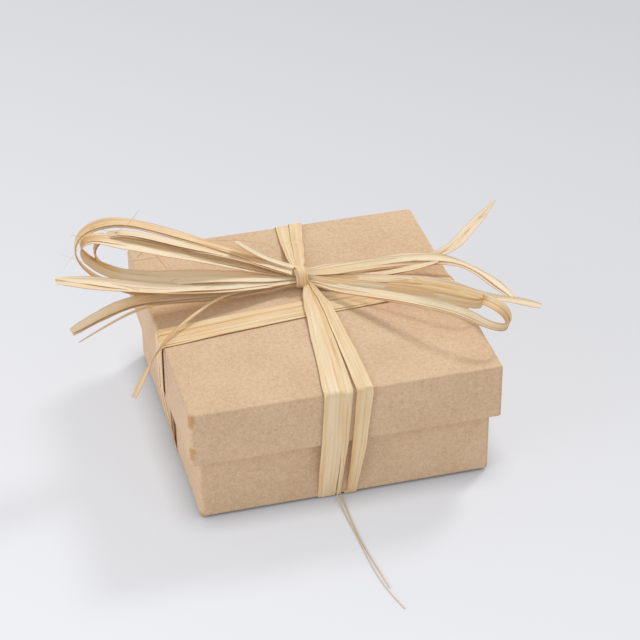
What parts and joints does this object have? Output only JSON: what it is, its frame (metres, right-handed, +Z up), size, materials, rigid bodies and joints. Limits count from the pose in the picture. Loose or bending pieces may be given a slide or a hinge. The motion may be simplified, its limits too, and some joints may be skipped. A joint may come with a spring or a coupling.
{
  "type": "gift box",
  "caption": "Square kraft paper box with a lift-off lid and a loose fibre pad, tied crosswise with flat raffia in a bow on top.",
  "frame": {"origin": "on the table under the middle of the box, at the lowest face of the raffia that passes under the base", "axes": "+Z up, -Y to the front, where the wide raffia strips come down, +X to the right as seen from the front"},
  "size_m": [0.1379, 0.138, 0.0641],
  "materials": {
    "kraft_paper": "uncoated brown kraft, fine darker flecks",
    "chipboard": "raw grey board",
    "stay_tape": "gummed paper tape, matt",
    "cotton": "soft white fibre",
    "raffia": "dry palm leaf, straw coloured, satin with long fibres"
  },
  "bodies": {
    "base": {"base_board": "chipboard", "base_corner_stays": "stay_tape", "base_wrap": "kraft_paper", "floor_fibre_long": "raffia", "floor_fibre_short": "raffia", "under_cross_narrow": "raffia", "under_cross_wide": "raffia", "under_strip_left": "raffia", "under_strip_right": "raffia"},
    "pad": {"fibre_pad": "cotton"},
    "lid": {"lid_board": "chipboard", "lid_corner_stays": "stay_tape", "lid_wrap": "kraft_paper"},
    "tie": {"back_strip_left": "raffia", "back_strip_right": "raffia", "cross_strip_narrow": "raffia", "cross_strip_wide": "raffia", "front_strip_left": "raffia", "front_strip_middle": "raffia", "front_strip_right": "raffia", "left_loop_inner": "raffia", "left_loop_middle": "raffia", "left_loop_outer": "raffia", "left_tail_crossing": "raffia", "left_tail_leaf": "raffia", "left_tail_short": "raffia", "left_tail_thin": "raffia", "left_tail_wide": "raffia", "raffia_knot": "raffia", "right_loop_inner": "raffia", "right_loop_wide": "raffia", "right_strand_split": "raffia", "right_tail_back": "raffia", "right_tail_middle": "raffia", "right_tail_top": "raffia"}
  },
  "joints": [
    {"name": "pad_lift", "type": "slide", "parent": "base", "child": "pad", "axis": [0, 0, 1], "range_m": [0, 0.018]},
    {"name": "lid_lift", "type": "slide", "parent": "base", "child": "lid", "axis": [0, 0, 1], "range_m": [0, 0.06]},
    {"name": "tie_lift", "type": "slide", "parent": "lid", "child": "tie", "axis": [0, 0, 1], "range_m": [0, 0.045]}
  ]
}
